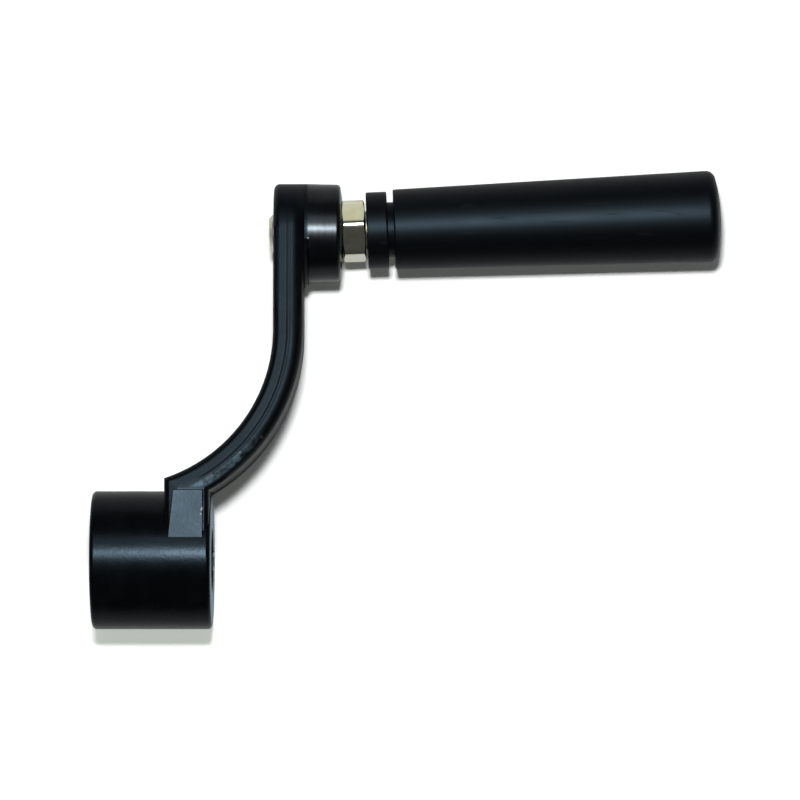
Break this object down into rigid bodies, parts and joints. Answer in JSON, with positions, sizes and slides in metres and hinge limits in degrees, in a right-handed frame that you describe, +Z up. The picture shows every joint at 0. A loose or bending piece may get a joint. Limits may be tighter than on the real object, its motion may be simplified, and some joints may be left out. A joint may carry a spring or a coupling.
{
  "type": "crank handle",
  "caption": "Cranked cast arm with a bored, keyed hub and a tapered grip that turns freely on a screw held by a thin lock nut.",
  "frame": {"origin": "on the shaft bore's axis, where its straight wall begins, 1 mm inside the hub's back face on the machine's side", "axes": "+X along the bore towards the grip; +Y along the arm towards the boss; +Z up, with the crank lying on its side on the hub and the boss"},
  "size_m": [0.1917, 0.1399, 0.042],
  "materials": {
    "black_paint": "satin",
    "bright_steel": "zinc plated",
    "black_plastic": "satin",
    "cap_plastic": "satin",
    "black_steel": "blackened"
  },
  "bodies": {
    "crank": {"crank_arm": "black_paint", "set_screw": "black_steel", "cap_screw": "bright_steel", "lock_nut": "bright_steel", "washer": "bright_steel"},
    "handle": {"grip": "black_plastic", "end_cap": "cap_plastic"}
  },
  "joints": [
    {"name": "grip_spin", "type": "hinge", "parent": "crank", "child": "handle", "pos_m": [0.13654, 0.10282, -0.00618], "axis": [0.9991, 0.0418, -0.0025], "continuous": true}
  ]
}
